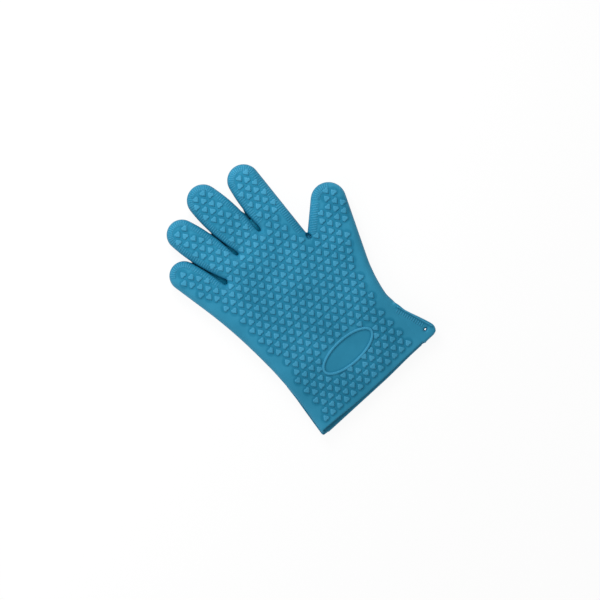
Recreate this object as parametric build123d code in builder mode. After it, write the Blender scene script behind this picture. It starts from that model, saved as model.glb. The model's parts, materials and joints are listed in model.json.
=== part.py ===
from build123d import *
import os
from dataclasses import dataclass
from math import acos, asin, atan2, cos, degrees, hypot, radians, sin, sqrt, tan

# A five-finger oven glove moulded in silicone, lying on its back with the gripping face up.
# Millimetres and degrees. The origin is at the cuff's open edge, in line with the middle finger's root,
# on the surface that the glove lies on. +X points to the thumb, +Y to the fingertips and +Z out of
# the gripping face.

# Shell of the hand and the digits
thickness = 18.0
wall = 2.0
edge_radius = 7.0
wrist_width = 134.4
wrist_shift = -1.0
palm_length = 131.0
middle_root_x = -0.2

# Slits between the fingers, and the rounded ends of the webs
slit_width = 4.4
little_slit_width = 6.5
slit_side_radius = 170.0
little_web_drop = 8.0
thumb_web_rounding = 2.0

# Digits: lean towards the little finger, width of the root line, radius of the tip, length
little_tilt = 12.5
little_width = 31.3
little_tip_radius = 14.5
little_length = 53.4
ring_tilt = 13.3
ring_width = 25.9
ring_tip_radius = 15.0
ring_length = 71.1
middle_tilt = 5.0
middle_width = 28.4
middle_tip_radius = 16.0
middle_length = 77.2
index_tilt = -4.0
index_width = 32.4
index_tip_radius = 16.0
index_length = 64.2
thumb_tilt = -35.5
thumb_width = 61.7
thumb_tip_radius = 17.5
thumb_length = 77.5
thumb_root_x = 52.7
thumb_root_y = 121.2

# Folds, where the silicone bends, and the stiff sleeve between the two folds of a digit
fold_length = 12.0
fold_clearance = 3.0
little_sleeve = 7.0
ring_sleeve = 13.0
middle_sleeve = 16.0
index_sleeve = 13.0
thumb_sleeve = 6.0

# Where the hand's sides leave the little finger and the thumb
little_side_run = 2.0
thumb_side_run = 7.5

# Cuff, from the wrist to its open mouth
cuff_length = 62.0
mouth_width = 139.5
mouth_shift = -5.7
mouth_thickness = 12.0
mouth_edge_radius = 5.0
lip_setback = 2.5

# Hanging tab at the thumb-side corner of the cuff
tab_reach = 16.5
tab_length = 50.0
tab_thickness = 5.0
tab_corner_radius = 5.0
tab_overlap = 2.0
hang_hole_radius = 2.0
hang_hole_inset = 9.0
hang_hole_height = 9.5

# Raised oval frame on the front of the cuff
oval_centre = 45.5
oval_width = 64.6
oval_height = 28.0
oval_rim_width = 2.2
oval_rim_height = 1.2

# Heart studs on the gripping face, in rows that point to the cuff and to the fingers by turns
heart_width = 6.5
heart_height = 6.6
heart_lobe_radius = 1.9
heart_rise = 1.2
heart_sink = 1.0
heart_pitch = 9.25
heart_pair_pitch = 13.45
heart_row_step = 6.2
heart_row_shift = 4.1
heart_column_shift = -1.04
heart_border = 12.0
heart_clearance = 1.0

os.makedirs("parts", exist_ok=True)
LITTLE_SIDE, THUMB_SIDE = -1, 1
zone_margin = slit_width / 3


def keep(builder, name):
    """Label a finished piece and write it."""
    builder.part.label = name
    export_step(builder.part, f"parts/{name}.step")


def unit(tilt):
    """Direction in the plane that leans by tilt from +Y towards -X."""
    return Vector(-sin(radians(tilt)), cos(radians(tilt)))


@dataclass
class Digit:
    """A digit seen from above. s runs along it from the middle of its root line, and t across it
    towards the thumb side. A side is straight, or swells as an arc where it faces a slit, and runs
    tangent into the round tip."""

    name: str
    root: Vector
    tilt: float
    width: float
    tip_radius: float
    length: float
    sleeve: float
    straight_sides: tuple
    free_from: float = 0.0

    @property
    def tip_centre(self):
        """s of the centre of the round tip."""
        return self.length - self.tip_radius

    @property
    def along(self):
        return unit(self.tilt)

    @property
    def across(self):
        return unit(self.tilt - 90)

    def point(self, s, t=0.0):
        return self.root + self.along * s + self.across * t

    def local(self, point):
        """(s, t) of a point in the plane."""
        away = point - self.root
        return away.dot(self.along), away.dot(self.across)

    def taper(self):
        """Angle by which a straight side leans in."""
        reach = hypot(self.width / 2, self.tip_centre)
        return acos(self.tip_radius / reach) - atan2(self.tip_centre, self.width / 2)

    def swell_centre(self, side):
        """(s, t) of the centre of an arc through the root corner that holds the round tip."""
        reach = hypot(self.tip_centre, self.width / 2)
        to_tip = (self.tip_centre / reach, -side * self.width / 2 / reach)
        tip_arc = slit_side_radius - self.tip_radius
        along = (slit_side_radius**2 - tip_arc**2 + reach**2) / (2 * reach)
        aside = sqrt(slit_side_radius**2 - along**2)
        s = along * to_tip[0] + side * aside * to_tip[1]
        t = side * self.width / 2 + along * to_tip[1] - side * aside * to_tip[0]
        return s, t

    def half_width(self, side, s):
        """Distance of a side from the middle line."""
        if side in self.straight_sides:
            return self.width / 2 - s * tan(self.taper())
        centre_s, centre_t = self.swell_centre(side)
        return side * centre_t + sqrt(slit_side_radius**2 - (s - centre_s) ** 2)

    def side_point(self, side, s):
        return self.point(s, side * self.half_width(side, s))

    def side_end(self, side):
        """s at which a side runs into the round tip."""
        if side in self.straight_sides:
            return self.tip_centre + self.tip_radius * sin(self.taper())
        centre_s, centre_t = self.swell_centre(side)
        out = hypot(self.tip_centre - centre_s, centre_t)
        return self.tip_centre + self.tip_radius * (self.tip_centre - centre_s) / out

    def side_direction(self, side, s=0.0):
        """Direction of a side at s, towards the tip."""
        if side in self.straight_sides:
            return unit(self.tilt + side * degrees(self.taper()))
        centre_s, centre_t = self.swell_centre(side)
        lean = asin((s - centre_s) / slit_side_radius)
        return unit(self.tilt + side * degrees(lean))

    def draw(self, little_start, thumb_start):
        """Draw both sides, from where each starts, and the round tip between them."""
        for side, start in ((LITTLE_SIDE, little_start), (THUMB_SIDE, thumb_start)):
            end = self.side_end(side)
            if side in self.straight_sides:
                Line(self.side_point(side, start), self.side_point(side, end))
            else:
                ThreePointArc(
                    self.side_point(side, start),
                    self.side_point(side, (start + end) / 2),
                    self.side_point(side, end),
                )
        ThreePointArc(
            self.side_point(LITTLE_SIDE, self.side_end(LITTLE_SIDE)),
            self.point(self.length),
            self.side_point(THUMB_SIDE, self.side_end(THUMB_SIDE)),
        )

    def free_zone(self):
        """Corners of a zone that holds the digit beyond the hand, and none of the hand."""
        end = self.length + wall
        middle = (self.free_from + end) / 2
        corners = []
        for side, stations in (
            (LITTLE_SIDE, (end, middle, self.free_from)),
            (THUMB_SIDE, (self.free_from, middle, end)),
        ):
            for s in stations:
                reach = self.half_width(side, min(s, self.tip_centre)) + zone_margin
                corners.append(tuple(self.point(s, side * reach))[:2])
        return corners

    def stations(self):
        """Near and far end of each piece along the digit."""
        ends = {}
        near = self.free_from
        for name, span in (
            ("root_fold", fold_length),
            ("base_sleeve", self.sleeve),
            ("middle_fold", fold_length),
            ("tip_sleeve", self.length),
        ):
            ends[name] = (near, min(near + span, self.length))
            near += span
        return ends

    def holds_stud(self, spot):
        """True where a stud fits on the digit's top, beyond the hand."""
        s, t = self.local(spot)
        side_margin = (edge_radius + heart_width) / 2
        if s < self.free_from - heart_height:
            return False
        if s > self.tip_centre:
            return hypot(s - self.tip_centre, t) < self.tip_radius - side_margin
        return abs(t) < self.half_width(LITTLE_SIDE if t < 0 else THUMB_SIDE, s) - side_margin

    def cut_plane(self, s):
        """Upright plane across the digit that faces the tip."""
        return Plane(self.point(s), z_dir=self.along)


def root_beside(neighbour, side, slit, drop, tilt, width):
    """Middle of a root line whose near end is one slit away from a neighbour's side."""
    corner = neighbour.side_point(side, -drop) + neighbour.across * (side * slit)
    return corner + unit(tilt - 90) * (side * width / 2)


middle_root = Vector(middle_root_x, cuff_length + palm_length)
middle = Digit(
    "middle", middle_root, middle_tilt, middle_width, middle_tip_radius, middle_length,
    middle_sleeve, (),
)
ring_root = root_beside(middle, LITTLE_SIDE, slit_width, 0, ring_tilt, ring_width)
ring = Digit("ring", ring_root, ring_tilt, ring_width, ring_tip_radius, ring_length, ring_sleeve, ())
little_root = root_beside(
    ring, LITTLE_SIDE, little_slit_width, little_web_drop, little_tilt, little_width
)
little = Digit(
    "little", little_root, little_tilt, little_width, little_tip_radius, little_length,
    little_sleeve, (LITTLE_SIDE,),
)
index_root = root_beside(middle, THUMB_SIDE, slit_width, 0, index_tilt, index_width)
index = Digit(
    "index", index_root, index_tilt, index_width, index_tip_radius, index_length, index_sleeve,
    (THUMB_SIDE,),
)
thumb_root = Vector(thumb_root_x, thumb_root_y)
thumb = Digit(
    "thumb", thumb_root, thumb_tilt, thumb_width, thumb_tip_radius, thumb_length, thumb_sleeve,
    (LITTLE_SIDE, THUMB_SIDE),
)
digits = [little, ring, middle, index, thumb]


def crossing(point, direction, other_point, other_direction):
    """Where two lines in the plane cross."""
    across = Vector(-other_direction.Y, other_direction.X)
    return point + direction * ((other_point - point).dot(across) / direction.dot(across))


# Web between the index finger and the thumb, and where each digit stands free of the hand
thumb_web = crossing(
    index.side_point(THUMB_SIDE, 0),
    index.side_direction(THUMB_SIDE),
    thumb.side_point(LITTLE_SIDE, 0),
    thumb.side_direction(LITTLE_SIDE),
)
index_web_end = thumb_web + index.side_direction(THUMB_SIDE) * thumb_web_rounding
thumb_web_end = thumb_web + thumb.side_direction(LITTLE_SIDE) * thumb_web_rounding
index_web_s = index.local(index_web_end)[0]
thumb_web_s = thumb.local(thumb_web_end)[0]
for digit in digits:
    digit.free_from = fold_clearance
thumb.free_from = thumb_web_s + fold_clearance

side_starts = {
    "little": (little_side_run, 0),
    "ring": (-little_web_drop, 0),
    "middle": (0, 0),
    "index": (0, index_web_s),
    "thumb": (thumb_web_s, thumb_side_run),
}


def smooth_turn(start, start_direction, end, end_direction):
    """Two arcs that run tangent into each other and into the directions at both ends."""
    span = end - start
    turn = 2 * (1 - start_direction.dot(end_direction))
    drift = span.dot(start_direction + end_direction)
    reach = (sqrt(drift**2 + turn * span.dot(span)) - drift) / turn
    middle = (start + start_direction * reach + end - end_direction * reach) / 2
    TangentArc(start, middle, tangent=start_direction)
    TangentArc(end, middle, tangent=-end_direction)


wrist_left = Vector(wrist_shift - wrist_width / 2, cuff_length)
wrist_right = Vector(wrist_shift + wrist_width / 2, cuff_length)
run_out = Vector(0, -2 * edge_radius)

# Outline of the hand from above, with the webs between the digits
with BuildSketch() as hand_outline:
    with BuildLine():
        Line(wrist_left + run_out, wrist_left)
        smooth_turn(
            wrist_left,
            Vector(0, 1),
            little.side_point(LITTLE_SIDE, little_side_run),
            little.side_direction(LITTLE_SIDE),
        )
        for digit in digits:
            digit.draw(*side_starts[digit.name])
        for digit, neighbour in zip(digits[:-1], digits[1:]):
            near_s = side_starts[digit.name][1]
            far_s = side_starts[neighbour.name][0]
            smooth_turn(
                digit.side_point(THUMB_SIDE, near_s),
                -digit.side_direction(THUMB_SIDE, near_s),
                neighbour.side_point(LITTLE_SIDE, far_s),
                neighbour.side_direction(LITTLE_SIDE, far_s),
            )
        smooth_turn(
            thumb.side_point(THUMB_SIDE, thumb_side_run),
            -thumb.side_direction(THUMB_SIDE),
            wrist_right,
            Vector(0, -1),
        )
        Line(wrist_right, wrist_right + run_out)
        Line(wrist_right + run_out, wrist_left + run_out)
    make_face()


def slab(outline, low, height, radius, is_rounded):
    """An outline raised to a slab with rounded sides."""
    with BuildPart() as form:
        with BuildSketch(Plane.XY.offset(low)):
            add(outline)
        extrude(amount=height)
        fillet(form.edges().filter_by(Plane.XY).filter_by(is_rounded), radius=radius)
    return form.part


def shell(outline, is_rounded):
    """A hollow slab of one wall thickness all round."""
    with BuildSketch() as inner:
        add(outline)
        offset(amount=-wall, mode=Mode.REPLACE)
    with BuildPart() as hollow:
        add(slab(outline, 0, thickness, edge_radius, is_rounded))
        cavity = slab(inner.sketch, wall, thickness - 2 * wall, edge_radius - wall, is_rounded)
        add(cavity, mode=Mode.SUBTRACT)
    return hollow.part


# Hand: both halves of the shell meet at the mould's parting line, halfway up
hand_shell = shell(hand_outline.sketch, lambda edge: edge.center().Y > cuff_length - edge_radius)
wrist_plane = Plane((0, cuff_length, 0), z_dir=(0, 1, 0))
parting_plane = Plane.XY.offset(thickness / 2)

for name, half in (("palm_panel", Keep.TOP), ("back_panel", Keep.BOTTOM)):
    with BuildPart() as panel:
        add(hand_shell)
        split(bisect_by=wrist_plane, keep=Keep.TOP)
        split(bisect_by=parting_plane, keep=half)
        with BuildSketch():
            for digit in digits:
                Polygon(*digit.free_zone(), align=None)
        extrude(amount=thickness, mode=Mode.SUBTRACT)
    keep(panel, name)


# Heart studs: one form, and one lattice over the whole gripping face, whose rows point to the cuff
# and to the fingers by turns
lobe = Vector(heart_width / 2 - heart_lobe_radius, heart_height / 2 - heart_lobe_radius)
heart_tip = Vector(0, -heart_height / 2)
to_lobe = lobe - heart_tip
side_lean = atan2(to_lobe.Y, to_lobe.X) - asin(heart_lobe_radius / to_lobe.length)
side_length = sqrt(to_lobe.length**2 - heart_lobe_radius**2)
heart_cheek = heart_tip + Vector(cos(side_lean), sin(side_lean)) * side_length
heart_notch = Vector(0, lobe.Y + sqrt(heart_lobe_radius**2 - lobe.X**2))
lobe_top = (side_lean - radians(90) + atan2(heart_notch.Y - lobe.Y, -lobe.X)) / 2
heart_crest = lobe + Vector(cos(lobe_top), sin(lobe_top)) * heart_lobe_radius

with BuildSketch() as heart:
    with BuildLine():
        Line(heart_tip, heart_cheek)
        ThreePointArc(heart_cheek, heart_crest, heart_notch)
        mirror(about=Plane.YZ)
    make_face()

glove_reach = cuff_length + palm_length + middle_length
lattice = []
for row in range(int(glove_reach / heart_pair_pitch) + 1):
    for column in range(-int(wrist_width / heart_pitch), int(wrist_width / heart_pitch) + 1):
        x = heart_column_shift + column * heart_pitch
        y = heart_row_shift + row * heart_pair_pitch
        lattice.append((Vector(x, y), 0))
        lattice.append((Vector(x + heart_pitch / 2, y - heart_row_step), 180))


def raised_studs(plane, rise, fits, stretch=1.0):
    """The lattice's studs, raised from a plane wherever they fit."""
    spots = [Location((spot.X, spot.Y * stretch), turn) for spot, turn in lattice if fits(spot)]
    with BuildPart() as group:
        with BuildSketch(plane):
            with Locations(*spots):
                add(heart.sketch)
        extrude(amount=rise)
    return group.part


# Digits: a fold at the root, a stiff sleeve, a fold at the middle and the tip, with their studs
for digit in digits:
    back = digit.free_from - 2 * edge_radius
    with BuildSketch() as digit_outline:
        with BuildLine():
            digit.draw(back, back)
            Line(digit.side_point(LITTLE_SIDE, back), digit.side_point(THUMB_SIDE, back))
        make_face()
    digit_shell = shell(
        digit_outline.sketch,
        lambda edge: digit.local(edge.center())[0] > back + edge_radius,
    )
    with BuildPart() as studded:
        add(digit_shell)
        sunk_plane = Plane.XY.offset(thickness - heart_sink)
        add(raised_studs(sunk_plane, heart_sink + heart_rise, digit.holds_stud))
    for name, (near, far) in digit.stations().items():
        with BuildPart() as piece:
            add(studded.part)
            split(bisect_by=digit.cut_plane(near), keep=Keep.TOP)
            if far < digit.length:
                split(bisect_by=digit.cut_plane(far), keep=Keep.BOTTOM)
        keep(piece, f"{digit.name}_{name}")

# Cuff: two half shells that flare from the wrist to the open mouth, the upper lip set back
mouth_left = mouth_shift - mouth_width / 2
mouth_right = mouth_shift + mouth_width / 2
lip_plane = Plane((0, 0, 0), x_dir=(1, 0, 0), z_dir=(0, mouth_thickness, -lip_setback))
cuff_parting = Plane(
    (0, 0, mouth_thickness / 2),
    x_dir=(1, 0, 0),
    z_dir=(0, -(thickness - mouth_thickness) / 2, cuff_length),
)


def cuff_form(inset):
    """The solid flare between the wrist's section and the mouth's, moved in by an inset."""
    with BuildPart() as form:
        for y, shift, width, height, radius in (
            (cuff_length, wrist_shift, wrist_width, thickness, edge_radius),
            (0, mouth_shift, mouth_width, mouth_thickness, mouth_edge_radius),
        ):
            with BuildSketch(Plane((shift, y, height / 2), x_dir=(1, 0, 0), z_dir=(0, -1, 0))):
                RectangleRounded(width - 2 * inset, height - 2 * inset, radius - inset)
        loft(ruled=True)
        split(bisect_by=lip_plane, keep=Keep.TOP)
    return form.part


cuff_outer = cuff_form(0)
cuff_inner = cuff_form(wall)
for name, half in (("cuff_front", Keep.TOP), ("cuff_back", Keep.BOTTOM)):
    with BuildPart() as cuff_half:
        add(cuff_outer)
        add(cuff_inner, mode=Mode.SUBTRACT)
        split(bisect_by=cuff_parting, keep=half)
    keep(cuff_half, name)

# Hanging tab: the front of the cuff carried on past its thumb side as a flat corner
front_slope = (thickness - mouth_thickness) / cuff_length


def cuff_front_plane(y):
    """Plane of the cuff's sloping front, with its origin on the middle line at y."""
    height = mouth_thickness + front_slope * y
    return Plane((0, y, height), x_dir=(1, 0, 0), z_dir=(0, -front_slope, 1))


tab_top = mouth_right + (wrist_right.X - mouth_right) * tab_length / cuff_length
with BuildPart() as hang_tab:
    with BuildSketch(cuff_front_plane(0)) as tab_outline:
        with BuildLine():
            Polyline(
                (tab_top - tab_overlap, tab_length),
                (tab_top, tab_length),
                (mouth_right + tab_reach, lip_setback),
                (mouth_right - tab_overlap, lip_setback),
                close=True,
            )
        make_face()
        fillet(tab_outline.vertices().sort_by(Axis.X)[-1], radius=tab_corner_radius)
        with Locations((mouth_right + tab_reach - hang_hole_inset, hang_hole_height)):
            Circle(hang_hole_radius, mode=Mode.SUBTRACT)
    extrude(amount=-tab_thickness)
    add(cuff_outer, mode=Mode.SUBTRACT)
keep(hang_tab, "hang_tab")

# Oval frame: a raised rim on the sloping front of the cuff, around a bare plate
with BuildPart() as oval_rim:
    with BuildSketch(cuff_front_plane(oval_centre)):
        Ellipse(oval_width / 2, oval_height / 2)
        Ellipse(
            oval_width / 2 - oval_rim_width,
            oval_height / 2 - oval_rim_width,
            mode=Mode.SUBTRACT,
        )
    extrude(amount=oval_rim_height)
keep(oval_rim, "oval_rim")

# Studs of the cuff and of the palm
stud_margin = heart_height / 2 + heart_clearance
outline_face = hand_outline.face()


def on_cuff(spot):
    """True where a stud fits on the cuff's front, clear of the sides, the mouth and the oval."""
    oval_x = spot.X / (oval_width / 2 + stud_margin)
    oval_y = (spot.Y - oval_centre) / (oval_height / 2 + stud_margin)
    inside = mouth_left + heart_border < spot.X < mouth_right - heart_border
    level = lip_setback + stud_margin < spot.Y < cuff_length - stud_margin
    return inside and level and hypot(oval_x, oval_y) > 1


def on_palm(spot):
    """True where a stud fits on the palm, clear of its sides and of every digit's fold."""
    for digit in digits:
        s, t = digit.local(spot)
        if abs(t) < digit.width / 2 + stud_margin and s > digit.free_from - stud_margin:
            return False
    if spot.Y < cuff_length + stud_margin or not outline_face.is_inside(spot):
        return False
    return outline_face.outer_wire().distance_to(spot) > heart_border


with BuildPart() as cuff_studs:
    add(raised_studs(cuff_front_plane(0), heart_rise, on_cuff, hypot(1, front_slope)))
keep(cuff_studs, "cuff_studs")

with BuildPart() as palm_studs:
    add(raised_studs(Plane.XY.offset(thickness), heart_rise, on_palm))
keep(palm_studs, "palm_studs")
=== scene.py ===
import json
from functools import partial
from math import acos, asin, atan2, cos, hypot, pi, radians, sin

import bmesh
import bpy
from mathutils import Matrix, Vector, noise
from mathutils.bvhtree import BVHTree
from mathutils.kdtree import KDTree


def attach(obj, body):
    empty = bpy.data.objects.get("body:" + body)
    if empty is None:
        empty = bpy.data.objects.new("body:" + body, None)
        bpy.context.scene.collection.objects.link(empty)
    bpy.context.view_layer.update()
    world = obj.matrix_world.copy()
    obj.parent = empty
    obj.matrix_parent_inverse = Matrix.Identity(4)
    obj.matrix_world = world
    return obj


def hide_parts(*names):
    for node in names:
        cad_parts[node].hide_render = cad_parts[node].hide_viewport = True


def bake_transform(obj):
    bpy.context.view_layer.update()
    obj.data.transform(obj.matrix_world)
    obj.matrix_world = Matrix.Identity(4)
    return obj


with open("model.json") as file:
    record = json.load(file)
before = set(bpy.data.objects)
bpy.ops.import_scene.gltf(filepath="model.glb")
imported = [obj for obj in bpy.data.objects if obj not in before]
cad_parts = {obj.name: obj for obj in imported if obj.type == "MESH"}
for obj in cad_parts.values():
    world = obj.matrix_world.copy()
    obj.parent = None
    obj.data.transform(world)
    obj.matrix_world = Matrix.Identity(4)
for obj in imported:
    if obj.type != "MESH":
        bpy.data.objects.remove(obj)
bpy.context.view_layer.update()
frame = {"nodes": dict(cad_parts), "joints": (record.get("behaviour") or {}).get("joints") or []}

# Body of the glove: the hollow hand and the flared cuff with its corner tab.
# One blue silicone moulding, 2 mm thick, pressed between two mould halves that meet halfway up.
# The halves leave a fine parting ridge round the sides, and the cuff's mouth stays open.
mm = 0.001
hand_nodes = ("palm_panel", "back_panel", "cuff_front", "cuff_back", "hang_tab")
digit_names = ("little", "ring", "middle", "index", "thumb")
hand_voxel = 1.0 * mm
smoothing_rounds = 3
half_height = 9.0 * mm
mouth_half_height = 6.0 * mm
wrist_y = 62.0 * mm
fold_reach = 5.0 * mm
stub_reach = 3.0 * mm
root_band = 1 * mm
root_spare = 1.2 * mm
same_point = 0.002 * mm
cut_nearness = 0.001 * mm
wave_height = 0.75 * mm
long_waves = 21
short_waves = 53
ridge_height = 0.35 * mm
cuff_flange = 0.9 * mm
cuff_flange_width = 50 * mm
cuff_flange_length = 25 * mm
beside_edge = 0.3 * mm
up = Vector((0, 0, 1))
joint_of = {joint["name"]: joint for joint in frame["joints"]}


class Digit:
    """Where a digit's two hinges are, and the directions along and across it."""

    def __init__(self, name):
        self.name = name
        self.knuckle = Vector(joint_of[f"{name}_knuckle"]["pos_m"])
        self.bend = Vector(joint_of[f"{name}_bend"]["pos_m"])
        self.across = Vector(joint_of[f"{name}_knuckle"]["axis"])
        self.along = Vector((-self.across.y, self.across.x, 0))
        self.start = self.knuckle - self.along * fold_reach
        self.middle = (self.knuckle + self.bend) / 2
        root = [self.local(v.co) for v in frame["nodes"][f"{name}_root_fold"].data.vertices]
        tip = [self.local(v.co) for v in frame["nodes"][f"{name}_tip_sleeve"].data.vertices]
        self.root_reach = max(abs(t) for s, t in root if s < root_band) + root_spare
        self.length = max(s for s, t in tip)

    def local(self, point):
        """Distance along and across the digit from the point where its skin starts."""
        away = Vector(point) - self.start
        return away.dot(self.along), away.dot(self.across)

    def point(self, s, t):
        """The place at a distance along and across the digit."""
        return self.start + self.along * s + self.across * t

    def half_at(self, s):
        """Which of the digit's two skins holds a place along it."""
        return "root" if s < (self.middle - self.start).length else "tip"


digits = [Digit(name) for name in digit_names]


def whole(form):
    """All the geometry of a bmesh."""
    return form.verts[:] + form.edges[:] + form.faces[:]


def only_verts(geometry):
    """The vertices in a list of geometry."""
    return [item for item in geometry if isinstance(item, bmesh.types.BMVert)]


def copied_node(node):
    """A merged copy of a CAD node's mesh."""
    form = bmesh.new()
    form.from_mesh(frame["nodes"][node].data)
    bmesh.ops.remove_doubles(form, verts=form.verts, dist=same_point)
    return form


def cut_off(form, place, facing, **side):
    """Cut a form at a plane, and clear the side that is named."""
    return bmesh.ops.bisect_plane(
        form, geom=whole(form), dist=cut_nearness, plane_co=place, plane_no=facing, **side
    )


def doubled_lower_half(form):
    """Take away a piece's studded upper half, and put its plain lower half there, turned over."""
    cut_off(form, (0, 0, half_height), up, clear_outer=True)
    upper = only_verts(bmesh.ops.duplicate(form, geom=whole(form))["geom"])
    turned = Matrix.Translation((0, 0, -half_height))
    bmesh.ops.scale(form, vec=(1, 1, -1), space=turned, verts=upper)
    bmesh.ops.remove_doubles(form, verts=form.verts, dist=same_point)
    bmesh.ops.recalc_face_normals(form, faces=form.faces)
    return form


def as_mesh(form, name):
    """A bmesh as a mesh, with the bmesh freed."""
    mesh = bpy.data.meshes.new(name)
    form.to_mesh(mesh)
    form.free()
    return mesh


def poured_together(forms, voxel, rounds):
    """Several forms as one even skin, with its sharp edges softened."""
    joined = bmesh.new()
    for form in forms:
        joined.from_mesh(as_mesh(form, "mould_part"))
    block = bpy.data.objects.new("moulding", as_mesh(joined, "moulding"))
    bpy.context.scene.collection.objects.link(block)
    remesh = block.modifiers.new("even_skin", "REMESH")
    remesh.mode = "VOXEL"
    remesh.voxel_size = voxel
    poured = bpy.data.meshes.new_from_object(
        block.evaluated_get(bpy.context.evaluated_depsgraph_get())
    )
    skin = bmesh.new()
    skin.from_mesh(poured)
    bpy.data.objects.remove(block)
    for _ in range(rounds):
        bmesh.ops.smooth_vert(
            skin, verts=skin.verts, factor=0.5, use_axis_x=True, use_axis_y=True, use_axis_z=True
        )
    return skin


def kept_in(value):
    """A share that stays between 0 and 1."""
    return min(1, max(0, value))


def eased(value):
    """A share that goes from 0 to 1 with soft ends."""
    value = kept_in(value)
    return value * value * (3 - 2 * value)


def hump(value):
    """A share that is 1 in the middle and falls softly to 0 at a reach of 1 on either side."""
    return max(0, 1 - value ** 2) ** 2


def soft_unevenness(skin):
    """The slight waves of an empty silicone glove that lies flat, most on its upper side."""
    for vert in skin.verts:
        height = kept_in(vert.co.z / half_height - 0.6)
        wave = noise.noise(vert.co * long_waves) + 0.5 * noise.noise(vert.co * short_waves)
        vert.co.z += wave_height * height * wave


def draw_out_edge(form, tree, place, facing, reach_at):
    """Draw out a thin edge round the outside of a form, where a plane cuts it."""
    line = only_verts(cut_off(form, place, facing)["geom_cut"])
    form.normal_update()
    for vert in line:
        out = Vector((vert.normal.x, vert.normal.y, 0))
        if out.length < 0.5:
            continue
        out.normalize()
        beside = vert.co + out * beside_edge
        if tree.ray_cast(beside, up)[0] is None:
            vert.co += out * reach_at(vert.co, out)


def parting_ridge(place, out):
    """Height of the ridge that the mould's parting line leaves."""
    return ridge_height


def cuff_ridge(place, out):
    """Height of the ridge on the cuff, which widens to a flange on the little-finger side."""
    left = eased(-place.x / cuff_flange_width)
    below_wrist = eased((wrist_y - place.y) / cuff_flange_length)
    return ridge_height + cuff_flange * left * below_wrist


stubs = []
for digit in digits:
    stub = doubled_lower_half(copied_node(f"{digit.name}_root_fold"))
    cut_off(stub, digit.start + digit.along * stub_reach, digit.along, clear_outer=True)
    bmesh.ops.holes_fill(stub, edges=stub.edges, sides=0)
    stubs.append(stub)
hand_forms = [copied_node(node) for node in hand_nodes] + stubs
hand_skin = poured_together(hand_forms, hand_voxel, smoothing_rounds)
soft_unevenness(hand_skin)

# The upper lip of the mouth stands back and up at the little-finger corner
lip_start_x = -15 * mm
lip_span = 55 * mm
lip_depth = 26 * mm
lip_setback = 2.6 * mm
lip_lift = 2.0 * mm
upper_from_z = 4.5 * mm
upper_span = 4 * mm
for vert in hand_skin.verts:
    near_mouth = kept_in(1 - vert.co.y / lip_depth) ** 2
    upper = kept_in((vert.co.z - upper_from_z) / upper_span)
    lift = eased((lip_start_x - vert.co.x) / lip_span) * near_mouth * upper
    vert.co.y += lip_setback * lift
    vert.co.z += lip_lift * lift

# The mouth's lips curl out a little, most on the little-finger side, with the lower lip behind
lip_curl = 1.9 * mm
less_at_tab = 0.7 * mm
less_below = 0.6 * mm
lower_from_z = 7.5 * mm
lower_span = 3 * mm
tab_half_x = 5 * mm
tab_half_span = 45 * mm
for vert in hand_skin.verts:
    near_mouth = kept_in(1 - vert.co.y / lip_depth) ** 2
    lower = kept_in((lower_from_z - vert.co.z) / lower_span)
    towards_tab = eased((vert.co.x - tab_half_x) / tab_half_span)
    vert.co.y += near_mouth * (towards_tab * (less_at_tab + less_below * lower) - lip_curl)

# The tab's outer edge and foot flare out, and the sides turn softly into the cuff at the wrist
thumb_side_x = 58 * mm
thumb_side_span = 7 * mm
thumb_turn_y = 77 * mm
thumb_turn_reach = 22 * mm
thumb_turn_widening = 1.3 * mm
tab_top_y = 49 * mm
tab_top_reach = 13 * mm
tab_top_widening = 1.5 * mm
little_side_x = -45 * mm
little_side_span = 15 * mm
cuff_flare_y = 60 * mm
cuff_flare_span = 20 * mm
cuff_widening = 1.0 * mm
wrist_reach = 20 * mm
wrist_waist = 0.4 * mm
tab_edge_x = 80.5 * mm
tab_edge_lean = 0.32
tab_edge_band = 6.5 * mm
tab_flare_y = 42 * mm
tab_flare_span = 34 * mm
tab_edge_widening = 2.2 * mm
foot_x = 59 * mm
foot_x_span = 7 * mm
foot_y = 7 * mm
foot_y_span = 4.5 * mm
foot_z = 10.5 * mm
foot_z_span = 2 * mm
upper_foot_flare = 1.3 * mm
lower_foot_flare = 1.1 * mm
for vert in hand_skin.verts:
    x, y, z = vert.co
    thumb_side = kept_in((x - thumb_side_x) / thumb_side_span)
    near_turn = hump((y - thumb_turn_y) / thumb_turn_reach)
    near_tab_top = hump((y - tab_top_y) / tab_top_reach)
    vert.co.x += (thumb_turn_widening * near_turn + tab_top_widening * near_tab_top) * thumb_side
    little_side = kept_in((little_side_x - x) / little_side_span)
    on_cuff = eased((cuff_flare_y - y) / cuff_flare_span)
    near_wrist = hump((y - wrist_y) / wrist_reach)
    vert.co.x += (cuff_widening * on_cuff - wrist_waist * near_wrist) * little_side
    on_tab = eased((tab_flare_y - y) / tab_flare_span)
    at_edge = eased((x - (tab_edge_x - tab_edge_lean * y)) / tab_edge_band + 1)
    vert.co.x += tab_edge_widening * on_tab * at_edge * thumb_side
    at_foot = eased((foot_y - y) / foot_y_span)
    flare = upper_foot_flare + lower_foot_flare * eased((foot_z - z) / foot_z_span)
    vert.co.y -= flare * at_foot * eased((x - foot_x) / foot_x_span)

# The tab's hanging hole narrows downwards, as the mould's pin does
hole_place = Vector((71.9 * mm, 9.3 * mm))
hole_radius = 2.2 * mm
hole_collar = 5.5 * mm
hole_narrowing = 1.25 * mm
hole_taper_z = 11.4 * mm
hole_taper_span = 2.6 * mm
for vert in hand_skin.verts:
    away = vert.co.xy - hole_place
    near = eased((hole_collar - away.length) / (hole_collar - hole_radius))
    if near > 0:
        deep = eased((hole_taper_z - vert.co.z) / hole_taper_span)
        vert.co -= away.normalized().to_3d() * (hole_narrowing * near * deep)

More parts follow.
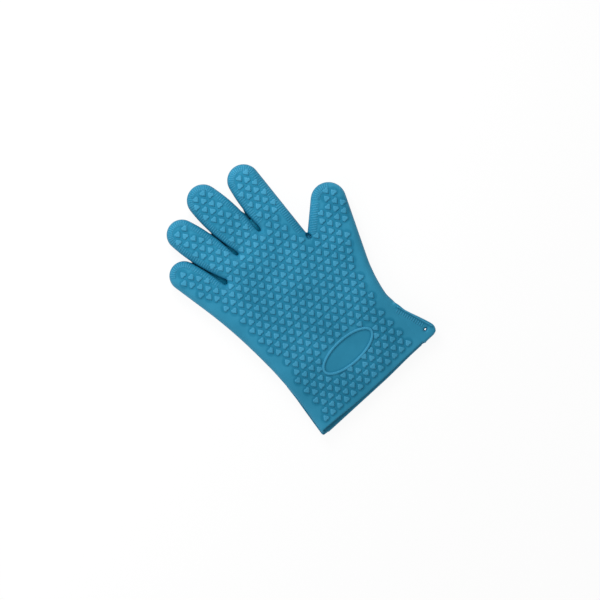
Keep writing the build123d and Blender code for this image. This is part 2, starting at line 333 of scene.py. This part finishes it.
# The slits between the fingers run into the palm with narrow rounded ends.
# Each end has a place, a direction, a shift along it and a reach
slit_ends = (
    (Vector((-41.6 * mm, 175.0 * mm)), Vector((-0.37, 0.93)), 3.4 * mm, 7.5 * mm),
    (Vector((-15.5 * mm, 190.9 * mm)), Vector((-0.17, 0.985)), 1.2 * mm, 4.8 * mm),
    (Vector((16.4 * mm, 193.2 * mm)), Vector((0.0, 1.0)), 0.5 * mm, 5.4 * mm),
)
slit_pinch = 0.32
for vert in hand_skin.verts:
    for slit_end, slit_run, shift, reach in slit_ends:
        away = vert.co.xy - slit_end
        near = max(0, 1 - away.length_squared / reach ** 2) ** 2
        sideways = away - slit_run * away.dot(slit_run)
        vert.co += ((slit_run * shift - sideways * slit_pinch) * near).to_3d()

# The corner between the index finger and the thumb dips into a short slit
thumb_corner = Vector((48.5 * mm, 156.4 * mm))
corner_half_width = 2.6 * mm
corner_half_length = 4 * mm
corner_depth = 8 * mm
for vert in hand_skin.verts:
    away = vert.co.xy - thumb_corner
    dent = max(0, 1 - (away.x / corner_half_width) ** 2 - (away.y / corner_half_length) ** 2)
    vert.co.z -= corner_depth * min(1, 2 * dent) * kept_in(vert.co.z / half_height - 1)

# The palm's skin ends in an open rim at each digit's root, where the digit's own skin goes on
cut_margin = 3 * mm
stub_zone = 30 * mm
hand_tree = BVHTree.FromBMesh(hand_skin)
for digit in digits:
    zone = []
    for face in hand_skin.faces:
        s, t = digit.local(face.calc_center_median())
        if s > -cut_margin and abs(t) < digit.root_reach:
            zone.append(face)
    edges = list({edge for face in zone for edge in face.edges})
    verts = list({vert for face in zone for vert in face.verts})
    bmesh.ops.bisect_plane(
        hand_skin, geom=verts + edges + zone, dist=cut_nearness, plane_co=digit.start,
        plane_no=digit.along,
    )
    beyond = []
    for face in hand_skin.faces:
        s, t = digit.local(face.calc_center_median())
        if 0 < s < stub_zone and abs(t) < digit.root_reach:
            beyond.append(face)
    bmesh.ops.delete(hand_skin, geom=beyond, context="FACES")


def silicone(name, red, green, blue):
    """Matte blue silicone with a faint mould grain, slight clouds in its colour, and painted shade where
    a mesh attribute marks valleys and outlines.
    """
    material = bpy.data.materials.new(name)
    material.use_nodes = True
    tree = material.node_tree
    shader = tree.nodes["Principled BSDF"]
    shader.inputs["Roughness"].default_value = 0.55
    shader.inputs["Specular IOR Level"].default_value = 0.12
    place = tree.nodes.new("ShaderNodeTexCoord")
    cloud = tree.nodes.new("ShaderNodeTexNoise")
    cloud.inputs["Scale"].default_value = 34
    cloud.inputs["Detail"].default_value = 4
    tint = tree.nodes.new("ShaderNodeValToRGB")
    tint.color_ramp.elements[0].position = 0.34
    tint.color_ramp.elements[0].color = (0.81 * red, 0.90 * green, 0.91 * blue, 1)
    tint.color_ramp.elements[1].position = 0.68
    tint.color_ramp.elements[1].color = (1.19 * red, 1.10 * green, 1.09 * blue, 1)
    # Painted shade: the attribute's share multiplies the colour darker, where shade would fall.
    valley = tree.nodes.new("ShaderNodeAttribute")
    valley.attribute_name = "valley"
    darker = tree.nodes.new("ShaderNodeMix")
    darker.data_type = "RGBA"
    darker.blend_type = "MULTIPLY"
    darker.inputs["B"].default_value = (0.52, 0.81, 0.84, 1)
    grain = tree.nodes.new("ShaderNodeTexNoise")
    grain.inputs["Scale"].default_value = 1500
    grain.inputs["Detail"].default_value = 3
    bump = tree.nodes.new("ShaderNodeBump")
    bump.inputs["Strength"].default_value = 0.16
    bump.inputs["Distance"].default_value = 0.15 * mm
    tree.links.new(place.outputs["Object"], cloud.inputs["Vector"])
    tree.links.new(place.outputs["Object"], grain.inputs["Vector"])
    tree.links.new(cloud.outputs["Fac"], tint.inputs["Fac"])
    tree.links.new(valley.outputs["Fac"], darker.inputs["Factor"])
    tree.links.new(tint.outputs["Color"], darker.inputs["A"])
    tree.links.new(darker.outputs["Result"], shader.inputs["Base Color"])
    tree.links.new(grain.outputs["Fac"], bump.inputs["Height"])
    tree.links.new(bump.outputs["Normal"], shader.inputs["Normal"])
    return material


skin_silicone = silicone("skin_silicone", 0.024, 0.222, 0.36)


def finished(form, name, material):
    """A bmesh as a smooth-shaded piece of the glove."""
    mesh = as_mesh(form, name)
    mesh.polygons.foreach_set("use_smooth", [True] * len(mesh.polygons))
    mesh.materials.append(material)
    piece = bpy.data.objects.new(name, mesh)
    bpy.context.scene.collection.objects.link(piece)
    return piece


cuff_form = hand_skin.copy()
cut_off(cuff_form, (0, wrist_y, 0), (0, 1, 0), clear_outer=True)
cut_off(hand_skin, (0, wrist_y, 0), (0, 1, 0), clear_inner=True)
cuff_parting = (0, mouth_half_height - half_height, wrist_y)
draw_out_edge(cuff_form, hand_tree, (0, 0, mouth_half_height), cuff_parting, cuff_ridge)
draw_out_edge(hand_skin, hand_tree, (0, 0, half_height), up, parting_ridge)
skins = []
cuff_skin = finished(cuff_form, "cuff_skin", skin_silicone)
skins.append(cuff_skin)
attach(cuff_skin, "hand")
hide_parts("cuff_front", "cuff_back", "hang_tab")
palm_skin = finished(hand_skin, "palm_skin", skin_silicone)
skins.append(palm_skin)
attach(palm_skin, "hand")
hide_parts("palm_panel", "back_panel")

# Digits: four fingers and the thumb, closed round tubes of the same silicone as the palm.
# Each bends at its root and its middle, so it has two skins, which meet in the sleeve between the folds.
# Along the slits a thin flange, moulded in one with the finger, fills half of the gap to the next.
digit_voxel = 0.8 * mm
root_end_s = -0.5 * mm
spare_root = 2.0 * mm
flange_level = 6.0 * mm
flange_overlap = 0.35 * mm
widest_flange = 2.4 * mm
flange_run = 30 * mm
flange_taper = 1.6 / 30
flange_start = 1 * mm
flange_start_span = 6 * mm
digit_tubes = {}
digit_trees = {}


def follow(piece, half):
    """Bake a piece's place into its mesh; pieces on a digit's root and tip halves are treated alike."""
    if half == "root":
        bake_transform(piece)
    else:
        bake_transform(piece)


def slit_flange(digit, place, out):
    """Reach of a finger's flange, which ends where the slit opens wide."""
    beside = place + out * beside_edge
    gaps = [tree.ray_cast(beside, out)[3] for tree in digit_trees.values()]
    half_gap = min((gap for gap in gaps if gap), default=1) / 2
    s = digit.local(place)[0]
    widest = widest_flange - flange_taper * min(flange_run, s)
    reach = max(0, min(half_gap + flange_overlap, widest - 2 * (half_gap - widest)))
    return reach * eased((s - flange_start) / flange_start_span)


for digit in digits:
    pieces = ("root_fold", "base_sleeve", "middle_fold", "tip_sleeve")
    forms = [doubled_lower_half(copied_node(f"{digit.name}_{piece}")) for piece in pieces]
    root_end = []
    for face in forms[0].faces:
        if all(digit.local(vert.co)[0] < root_end_s for vert in face.verts):
            root_end.append(face)
    drawn_back = bmesh.ops.extrude_face_region(forms[0], geom=root_end)["geom"]
    bmesh.ops.translate(forms[0], vec=digit.along * -spare_root, verts=only_verts(drawn_back))
    tube = poured_together(forms, digit_voxel, smoothing_rounds)
    soft_unevenness(tube)
    digit_tubes[digit.name] = tube
    digit_trees[digit.name] = BVHTree.FromBMesh(tube)

for digit in digits:
    tube = digit_tubes[digit.name]
    own_tree = digit_trees[digit.name]
    cut_off(tube, digit.start, digit.along, clear_inner=True)
    draw_out_edge(tube, own_tree, (0, 0, half_height), up, parting_ridge)
    draw_out_edge(tube, own_tree, (0, 0, flange_level), up, partial(slit_flange, digit))
    tip_form = tube.copy()
    cut_off(tube, digit.middle, digit.along, clear_outer=True)
    cut_off(tip_form, digit.middle, digit.along, clear_inner=True)
    root_skin = finished(tube, f"{digit.name}_root_skin", skin_silicone)
    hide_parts(f"{digit.name}_root_fold", f"{digit.name}_base_sleeve")
    follow(root_skin, "root")
    skins.append(root_skin)
    tip_skin = finished(tip_form, f"{digit.name}_tip_skin", skin_silicone)
    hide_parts(f"{digit.name}_middle_fold", f"{digit.name}_tip_sleeve")
    follow(tip_skin, "tip")
    skins.append(tip_skin)

# Painted shade: the skins are darker in a band just above the parting line, where they turn away from
# the light
painted_outline_depth = 0.85
band_top = 1.5
band_top_fade = 0.3
band_foot = 0.85
band_foot_fade = 0.15
for skin in skins:
    valley = skin.data.attributes.new("valley", "FLOAT", "POINT")
    for vert, share in zip(skin.data.vertices, valley.data):
        thinner_cuff = kept_in(vert.co.y / wrist_y)
        level = mouth_half_height + (half_height - mouth_half_height) * thinner_cuff
        below_top = eased((band_top * level - vert.co.z) / (band_top_fade * level))
        above_foot = eased((vert.co.z - band_foot * level) / (band_foot_fade * level))
        share.value = painted_outline_depth * (below_top * above_foot)

# Finger webs: thin low films of silicone that close the slits at the fingers' roots.
# They are moulded in one with the palm, halfway up it. They are a sheet put where the slits lie in
# shade, in a darker copy of the skin's silicone: painted shade, so the slits look deep and dark.
web_level = 7.0 * mm
web_thickness = 1.2 * mm
web_bite = 3.2 * mm
web_measure = 6 * mm
web_spans = {
    ("little", "ring"): ((-9 * mm, 15 * mm), (-20 * mm, 6 * mm)),
    ("ring", "middle"): ((-8 * mm, 10 * mm), (-8 * mm, 10 * mm)),
    ("middle", "index"): ((-8 * mm, 10 * mm), (-8 * mm, 10 * mm)),
}
above_all = 60 * mm
outline_step = 0.2 * mm
outline_margin = 4 * mm
narrowest_reach = 5 * mm
digit_of = {digit.name: digit for digit in digits}
# Darker copy of the skin's silicone: painted shade in the slits.
web_silicone = silicone("web_silicone", 0.003, 0.19, 0.315)


def height_at(x, y, trees):
    """Height of the highest skin at a place seen from above, or nothing where there is none."""
    hits = [tree.ray_cast(Vector((x, y, above_all)), -up)[0] for tree in trees]
    return max((hit.z for hit in hits if hit), default=None)


def outline_reach(digit, s, side):
    """Distance from a digit's middle line to its outline on one side."""
    t = digit.root_reach + outline_margin
    trees = [digit_trees[digit.name] if s >= 0 else hand_tree]
    while t > narrowest_reach:
        place = digit.point(s, side * t)
        if height_at(place.x, place.y, trees):
            return t
        t -= outline_step
    return digit.root_reach


webs = bmesh.new()
for (near, far), (near_span, far_span) in web_spans.items():
    corners = []
    for name, side, span in ((near, 1, near_span), (far, -1, far_span[::-1])):
        reach = outline_reach(digit_of[name], web_measure, side) - web_bite
        for s in span:
            place = digit_of[name].point(s, side * reach)
            corners.append(webs.verts.new((place.x, place.y, web_level)))
    film = bmesh.ops.contextual_create(webs, geom=corners)["faces"]
    walls = bmesh.ops.extrude_face_region(webs, geom=film)["geom"]
    bmesh.ops.translate(webs, vec=(0, 0, web_thickness), verts=only_verts(walls))
bmesh.ops.recalc_face_normals(webs, faces=webs.faces)
finger_webs = finished(webs, "finger_webs", web_silicone)
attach(finger_webs, "hand")

# Heart studs: raised grip studs all over the gripping face, moulded in one with the skin.
# They stand in rows that point to the cuff and to the fingertips by turns.
# The sides of the hand, the mouth's edge and the oval plate are bare.
heart_half = 3.3 * mm
heart_top = 3.35 * mm
lobe_radius = 1.9 * mm
heart_rise = 1.15 * mm
heart_sink = 0.7 * mm
heart_wall = 0.3
heart_slope = 0.8 * mm
heart_brim = 0.8 * mm
heart_dish = 0.25 * mm
heart_seam = 0.05 * mm
free_edge_drop = 0.5 * mm
heart_pitch = 9.25 * mm
pair_pitch = 13.45 * mm
row_step = 4.95 * mm
first_row = 2.8 * mm
first_column = -1.04 * mm
heart_rows = range(-1, 21)
heart_columns = range(-12, 13)
bare_side = 11 * mm
bare_mouth = 11 * mm
oval_y = 45.5 * mm
oval_half_width = 32.3 * mm
oval_half_height = 14.0 * mm
bare_oval = 2.0 * mm
bare_tab_x = 52.5 * mm
edge_bare = 6.4 * mm
thumb_lean = -2.2 * mm
root_bare = 4.6 * mm
root_hearts = 9 * mm
finger_roots_y = 170 * mm
digit_drop = 9 * mm
side_drop = 3 * mm
palm_level = (3.8 * mm, 4.5 * mm)
finger_root_level = (3.3 * mm, 7 * mm)
all_trees = [hand_tree] + list(digit_trees.values())
# The studs, ribs and welt take a paler copy of the skin's silicone: a painted highlight on the raised
# parts.
stud_silicone = silicone("stud_silicone", 0.041, 0.262, 0.418)

heart = bmesh.new()
lobe = Vector((heart_half - lobe_radius, heart_top - lobe_radius, 0))
point = Vector((0, -heart_top, 0))
to_lobe = lobe - point
cheek_turn = atan2(to_lobe.y, to_lobe.x) - asin(lobe_radius / to_lobe.length) - pi / 2
notch_turn = pi - acos(lobe.x / lobe_radius)
cheek = heart.verts.new(lobe + Vector((cos(cheek_turn), sin(cheek_turn), 0)) * lobe_radius)
bmesh.ops.spin(
    heart, geom=[cheek], cent=lobe, axis=up, angle=notch_turn - cheek_turn, steps=5,
    use_duplicate=False,
)
heart.edges.new((heart.verts.new(point), cheek))
other_half = only_verts(bmesh.ops.duplicate(heart, geom=whole(heart))["geom"])
bmesh.ops.scale(heart, vec=(-1, 1, 1), verts=other_half)
bmesh.ops.remove_doubles(heart, verts=heart.verts, dist=heart_seam)
heart_top_face = bmesh.ops.contextual_create(heart, geom=heart.edges[:])["faces"]
heart.normal_update()
if heart_top_face[0].normal.z < 0:
    bmesh.ops.reverse_faces(heart, faces=heart_top_face)
bmesh.ops.translate(heart, vec=(0, 0, -heart_sink), verts=heart.verts)
raised = bmesh.ops.extrude_face_region(heart, geom=heart_top_face)["geom"]
bmesh.ops.translate(heart, vec=(0, 0, heart_sink + heart_wall * heart_rise), verts=only_verts(raised))
crown = [item for item in raised if isinstance(item, bmesh.types.BMFace)]
heart.normal_update()
bmesh.ops.inset_region(
    heart, faces=crown, thickness=heart_slope, depth=(1 - heart_wall) * heart_rise,
    use_even_offset=True,
)
heart.normal_update()
bmesh.ops.inset_region(
    heart, faces=crown, thickness=heart_brim, depth=-heart_dish, use_even_offset=True
)
heart_mesh = as_mesh(heart, "heart")


def pressed_on(form, shape, place, trees, inwards=None):
    """Add a small moulded shape to a form, laid on the skin below it, and stiff over a free edge."""
    before = len(form.verts)
    form.from_mesh(shape)
    form.verts.ensure_lookup_table()
    for vert in form.verts[before:]:
        spot = place @ vert.co
        level = height_at(spot.x, spot.y, trees) or half_height
        if inwards:
            beside = spot + inwards
            level_beside = height_at(beside.x, beside.y, trees) or half_height
            level = max(level, level_beside - free_edge_drop)
        vert.co = Vector((spot.x, spot.y, level + vert.co.z))


def lies_on_top(x, y, trees, reach, drop):
    """True where the skin is nearly level all round a place."""
    centre = height_at(x, y, trees)
    if centre is None:
        return False
    for turn in range(12):
        angle = turn * pi / 6
        level = height_at(x + reach * cos(angle), y + reach * sin(angle), trees)
        if level is None or level < centre - drop:
            return False
    return True


def heart_owner(x, y):
    """The digit and half, or the part of the hand, that holds a heart, or nothing where it is bare."""
    for digit in digits:
        s, t = digit.local((x, y, 0))
        if s > 0 and height_at(x, y, [digit_trees[digit.name]]) is not None:
            trees = [hand_tree, digit_trees[digit.name]]
            reach = root_bare if s < root_hearts else edge_bare
            lean = digit.across * (thumb_lean if digit.name == "thumb" else 0)
            clear = lies_on_top(x + lean.x, y + lean.y, trees, reach + 0.3 * lean.length, digit_drop)
            return (digit.name, digit.half_at(s)) if clear else None
    past_oval = hypot(x / (oval_half_width + bare_oval), (y - oval_y) / (oval_half_height + bare_oval))
    bare = y < bare_mouth or past_oval < 1 or (y < wrist_y and x > bare_tab_x)
    reach, drop = finger_root_level if y > finger_roots_y else palm_level
    if bare or not lies_on_top(x, y, all_trees, reach, drop):
        return None
    for side in (-1, 1):
        beside = [height_at(x + side * away, y, all_trees) for away in (bare_side, 2 * bare_side)]
        if max(level or 0 for level in beside) < height_at(x, y, all_trees) - side_drop:
            return None
    return ("cuff", "") if y < wrist_y else ("palm", "")


def paint_shade_near(points, near, far, depth):
    """Paint shade on the skins' upper side near the given points, such as between studs, where they look
    darker in the shade of the valleys.
    """
    studs = KDTree(len(points))
    for number, (x, y) in enumerate(points):
        studs.insert((x, y, 0), number)
    studs.balance()
    for skin in skins:
        valley = skin.data.attributes["valley"]
        for vert, share in zip(skin.data.vertices, valley.data):
            if vert.co.z > half_height:
                away = studs.find((vert.co.x, vert.co.y, 0))[2]
                share.value = max(share.value, depth * eased((far - away) / (far - near)))


heart_spots = []
heart_groups = {}
for row in heart_rows:
    for column in heart_columns:
        for turned in (0, 1):
            x = first_column + (column + turned / 2) * heart_pitch
            y = first_row + row * pair_pitch - turned * row_step
            owner = heart_owner(x, y)
            if owner:
                heart_spots.append((x, y))
                spot = Matrix.Translation((x, y, 0)) @ Matrix.Rotation(pi * turned, 4, "Z")
                pressed_on(heart_groups.setdefault(owner, bmesh.new()), heart_mesh, spot, all_trees)

for (name, half), form in heart_groups.items():
    if half:
        studs = finished(form, f"{name}_{half}_hearts", stud_silicone)
        follow(studs, half)
    else:
        studs = finished(form, f"{name}_hearts", stud_silicone)
        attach(studs, "hand")
        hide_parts(f"{name}_studs")

# Painted shade in the valleys between the hearts.
paint_shade_near(heart_spots, near=4.6 * mm, far=6.2 * mm, depth=1.0)

# Edge ribs: fine low bars across the edges of the digits, square to the outline and round the tips.
# They are moulded in one with the skin and help a wet grip.
# The outer sides of the little finger and of the thumb have none.
rib_length = {
    "little": 5.6 * mm, "ring": 5.6 * mm, "middle": 5.6 * mm, "index": 6.4 * mm, "thumb": 8.2 * mm
}
rib_width = 1.25 * mm
rib_rise = 0.42 * mm
rib_sink = 0.5 * mm
rib_pitch = 2.4 * mm
rib_inset = 0.8 * mm
rib_mark = 0.35
rib_start = 2 * mm
early_start = {("index", 1): -30.8 * mm, ("thumb", -1): -7.6 * mm}
thumb_widening = 0.25
little_tip_start = radians(-50)
tip_end = radians(89)
tip_inset = 2 * mm
ribbed_sides = {"little": (1,), "ring": (-1, 1), "middle": (-1, 1), "index": (-1, 1), "thumb": (-1,)}
tip_radius = {
    "little": 14.5 * mm, "ring": 15.0 * mm, "middle": 16.0 * mm, "index": 16.0 * mm, "thumb": 17.5 * mm
}


def low_bar(name, length, width, rise, parts):
    """A low bar with sloping sides, whose foot is sunk in the skin."""
    bar = bmesh.new()
    bmesh.ops.create_grid(bar, x_segments=parts, y_segments=1, size=0.5)
    bmesh.ops.scale(bar, vec=(length, width, 1), verts=bar.verts)
    bar.normal_update()
    bmesh.ops.inset_region(
        bar, faces=bar.faces[:], thickness=0.3 * width, use_boundary=True, use_even_offset=True
    )
    for vert in bar.verts:
        vert.co.z = -rib_sink if vert.is_boundary else rise
    return as_mesh(bar, name)


rib_points = []
for digit in digits:
    length = rib_length[digit.name]
    rib_mesh = low_bar("rib", length, rib_width, rib_rise, parts=5)
    spots = []
    tip_centre = digit.length - tip_radius[digit.name]
    for side in ribbed_sides[digit.name]:
        first = early_start.get((digit.name, side), rib_start)
        for step in range(int((tip_centre - first) / rib_pitch)):
            s = first + step * rib_pitch
            if digit.name == "thumb" and s < rib_start:
                outline = outline_reach(digit, rib_start, side) + thumb_widening * (rib_start - s)
            else:
                outline = outline_reach(digit, s, side)
            reach = outline - rib_inset - length / 2
            spots.append((s, side * reach, 0))
    for step in range(-9, 10):
        turn = step * rib_pitch / (tip_radius[digit.name] - tip_inset)
        reach = tip_radius[digit.name] - rib_inset - length / 2
        side = 1 if turn > 0 else -1
        ribbed = side in ribbed_sides[digit.name]
        if digit.name == "little" and turn > little_tip_start:
            ribbed = True
        if ribbed and abs(turn) < tip_end:
            spots.append((tip_centre + reach * cos(turn), reach * sin(turn), pi / 2 - turn))
    across = Matrix.Rotation(atan2(digit.across.y, digit.across.x), 4, "Z")
    rib_groups = {}
    for s, t, lie in spots:
        place = Matrix.Translation(digit.point(s, t)) @ across @ Matrix.Rotation(lie, 4, "Z")
        for along in (-rib_mark * length, 0, rib_mark * length):
            rib_points.append((place @ Vector((along, 0, 0)))[:2])
        form = rib_groups.setdefault("web" if s < 0 else digit.half_at(s), bmesh.new())
        pressed_on(form, rib_mesh, place, [hand_tree, digit_trees[digit.name]])
    for half, form in rib_groups.items():
        ribs = finished(form, f"{digit.name}_{half}_ribs", stud_silicone)
        if half == "web":
            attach(ribs, "hand")
        else:
            follow(ribs, half)

# Painted shade in the grooves between the ribs.
paint_shade_near(rib_points, near=1.3 * mm, far=2.4 * mm, depth=0.8)

# Oval frame: a rounded raised rim of silicone on the front of the cuff, moulded in one with it.
# The plate inside it is bare.
rim_width = 2.6 * mm
rim_rise = 1.3 * mm
rim_rounding = 0.9 * mm
rim_shade = 0.5 * mm
# The rim takes a paler copy of the skin's silicone: a painted highlight on the raised rim.
rim_silicone = silicone("rim_silicone", 0.040, 0.268, 0.432)
oval = bmesh.new()
bmesh.ops.create_circle(oval, cap_ends=True, segments=96, radius=1)
bmesh.ops.scale(oval, vec=(oval_half_width, oval_half_height, 1), verts=oval.verts)
oval.normal_update()
plate = oval.faces[:]
bmesh.ops.inset_region(
    oval, faces=plate, thickness=rim_width, use_boundary=True, use_even_offset=True
)
bmesh.ops.delete(oval, geom=plate, context="FACES_ONLY")
bmesh.ops.translate(oval, vec=(0, 0, -heart_sink), verts=oval.verts)
raised = bmesh.ops.extrude_face_region(oval, geom=oval.faces[:])["geom"]
bmesh.ops.translate(oval, vec=(0, 0, heart_sink + rim_rise), verts=only_verts(raised))
bmesh.ops.recalc_face_normals(oval, faces=oval.faces)
crest = [edge for edge in oval.edges if all(vert.co.z > 0 for vert in edge.verts)]
crest = [edge for edge in crest if edge.calc_face_angle() > radians(45)]
bmesh.ops.bevel(
    oval, geom=crest, offset=rim_rounding, offset_type="OFFSET", segments=4, profile=0.5,
    affect="EDGES", material=-1,
)
oval_mesh = as_mesh(oval, "oval")
oval_form = bmesh.new()
pressed_on(oval_form, oval_mesh, Matrix.Translation((0, oval_y, 0)), [hand_tree])
oval_rim = finished(oval_form, "oval_frame", rim_silicone)
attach(oval_rim, "hand")
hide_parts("oval_rim")
# Painted shade on the plate just inside the rim's foot.
shade_inset = rim_width + rim_shade
shade_half_width = oval_half_width - shade_inset
shade_half_height = oval_half_height - shade_inset
rim_foot = []
for step in range(120):
    turn = step * pi / 60
    rim_foot.append((shade_half_width * cos(turn), oval_y + shade_half_height * sin(turn)))
paint_shade_near(rim_foot, near=0.6 * mm, far=2.4 * mm, depth=0.8)
# Painted shade across the plate, deepest along its middle line.
plate_line = [(step * 4 * mm, oval_y) for step in range(-6, 7)]
paint_shade_near(plate_line, near=6 * mm, far=14 * mm, depth=0.35)

# Corner welt: a raised bead along the outer edge of the hanging tab, with short ribs beside it.
# It is moulded in one with the tab and stiffens its free edge.
welt_top = Vector((67.4 * mm, 46 * mm, 0))
welt_foot = Vector((80.6 * mm, 7 * mm, 0))
welt_width = 1.7 * mm
welt_rise = 1.2 * mm
welt_inset = 1.4 * mm
welt_rib_length = 4.4 * mm
welt_rib_gap = 0.8 * mm
welt_probe = 1.6 * mm
hole_margin = 0.6 * mm
run = welt_foot - welt_top
edge_turn = Matrix.Rotation(atan2(run.y, run.x), 4, "Z")
inwards = Vector((run.y, -run.x, 0)).normalized()
welt = bmesh.new()
bead_mesh = low_bar("welt_bead", run.length, welt_width, welt_rise, parts=30)
bead_place = (welt_top + welt_foot) / 2 + inwards * welt_inset
pressed_on(
    welt, bead_mesh, Matrix.Translation(bead_place) @ edge_turn, [hand_tree], inwards * welt_probe
)
welt_rib_mesh = low_bar("welt_rib", welt_rib_length, rib_width, 1.1 * rib_rise, parts=4)
for step in range(1, int(run.length / rib_pitch)):
    spot = welt_top + run.normalized() * step * rib_pitch
    spot = spot + inwards * (welt_inset + welt_width / 2 + welt_rib_gap + welt_rib_length / 2)
    lie = edge_turn @ Matrix.Rotation(pi / 2, 4, "Z")
    if (spot.xy - hole_place).length > hole_radius + welt_rib_length / 2 + hole_margin:
        pressed_on(welt, welt_rib_mesh, Matrix.Translation(spot) @ lie, [hand_tree])
corner_welt = finished(welt, "corner_welt", stud_silicone)
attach(corner_welt, "hand")
# Painted shade in a line along the inner foot of the welt.
welt_shade = []
for step in range(41):
    shade = welt_top + run * (step / 40) + inwards * (welt_inset + 0.8 * welt_width)
    welt_shade.append((shade.x, shade.y))
paint_shade_near(welt_shade, near=0.7 * mm, far=1.9 * mm, depth=1.0)

# Table: white paper that the glove lies on.
# It glows where it is seen, so it shows white, and it still takes the glove's soft shadow.
paper_glow = 0.91
floor = bmesh.new()
bmesh.ops.create_grid(floor, x_segments=1, y_segments=1, size=6)
floor_mesh = as_mesh(floor, "floor")
table_top = bpy.data.objects.new("floor", floor_mesh)
bpy.context.scene.collection.objects.link(table_top)
paper = bpy.data.materials.new("white_paper")
paper.use_nodes = True
tree = paper.node_tree
matte = tree.nodes["Principled BSDF"]
matte.inputs["Base Color"].default_value = (0.95, 0.95, 0.95, 1)
matte.inputs["Roughness"].default_value = 0.9
matte.inputs["Specular IOR Level"].default_value = 0.1
glow = tree.nodes.new("ShaderNodeEmission")
path = tree.nodes.new("ShaderNodeLightPath")
seen = tree.nodes.new("ShaderNodeMath")
seen.operation = "MAXIMUM"
seen_at_all = tree.nodes.new("ShaderNodeMath")
seen_at_all.operation = "MAXIMUM"
share = tree.nodes.new("ShaderNodeMath")
share.operation = "MULTIPLY"
share.inputs[1].default_value = paper_glow
mix = tree.nodes.new("ShaderNodeMixShader")
tree.links.new(path.outputs["Is Camera Ray"], seen.inputs[0])
tree.links.new(path.outputs["Is Glossy Ray"], seen.inputs[1])
tree.links.new(seen.outputs["Value"], seen_at_all.inputs[0])
tree.links.new(path.outputs["Is Transmission Ray"], seen_at_all.inputs[1])
tree.links.new(seen_at_all.outputs["Value"], share.inputs[0])
tree.links.new(share.outputs["Value"], mix.inputs["Fac"])
tree.links.new(matte.outputs["BSDF"], mix.inputs[1])
tree.links.new(glow.outputs["Emission"], mix.inputs[2])
tree.links.new(mix.outputs["Shader"], tree.nodes["Material Output"].inputs["Surface"])
floor_mesh.materials.append(paper)

# Soft studio light: a pale dome over the table, and two square soft boxes on stands.
# One stands beyond the fingertips and one on the little finger's side, so no side of the glove is dark.
dome_strength = 0.59
soft_box_size = 0.3
soft_boxes = (
    ("soft_box", 2.27, Vector((0.15, 0.55, 0.38))),
    ("side_box", 1.08, Vector((-0.48, 0.30, 0.36))),
)
soft_box_aim = Vector((0, 0.16, 0))
world = bpy.data.worlds.new("studio")
bpy.context.scene.world = world
world.use_nodes = True
world.node_tree.nodes["Background"].inputs["Color"].default_value = (1, 1, 1, 1)
world.node_tree.nodes["Background"].inputs["Strength"].default_value = dome_strength
for name, energy, place in soft_boxes:
    soft_box = bpy.data.lights.new(name, "AREA")
    soft_box.shape = "SQUARE"
    soft_box.size = soft_box_size
    soft_box.energy = energy
    stand = bpy.data.objects.new(name, soft_box)
    stand.location = place
    stand.rotation_mode = "QUATERNION"
    stand.rotation_quaternion = (soft_box_aim - place).to_track_quat("-Z", "Y")
    bpy.context.scene.collection.objects.link(stand)

# Camera straight above the glove, turned so that the fingers point to the upper left.
# Its lens takes in 0.6 m at the height of the parting line.
view_turn = radians(42.4)
view_width = 0.6
view_height = 3.0
view_centre = Vector((-0.001, 0.1153, 0))
camera_data = bpy.data.cameras.new("camera")
camera_data.sensor_width = 36
camera_data.lens = camera_data.sensor_width * (view_height - half_height) / view_width
camera = bpy.data.objects.new("camera", camera_data)
camera.location = view_centre + up * view_height
camera.rotation_mode = "QUATERNION"
camera.rotation_quaternion = Matrix.Rotation(-view_turn, 3, "Z").to_quaternion()
bpy.context.scene.collection.objects.link(camera)
bpy.context.scene.camera = camera
bpy.context.scene.view_settings.view_transform = "Standard"
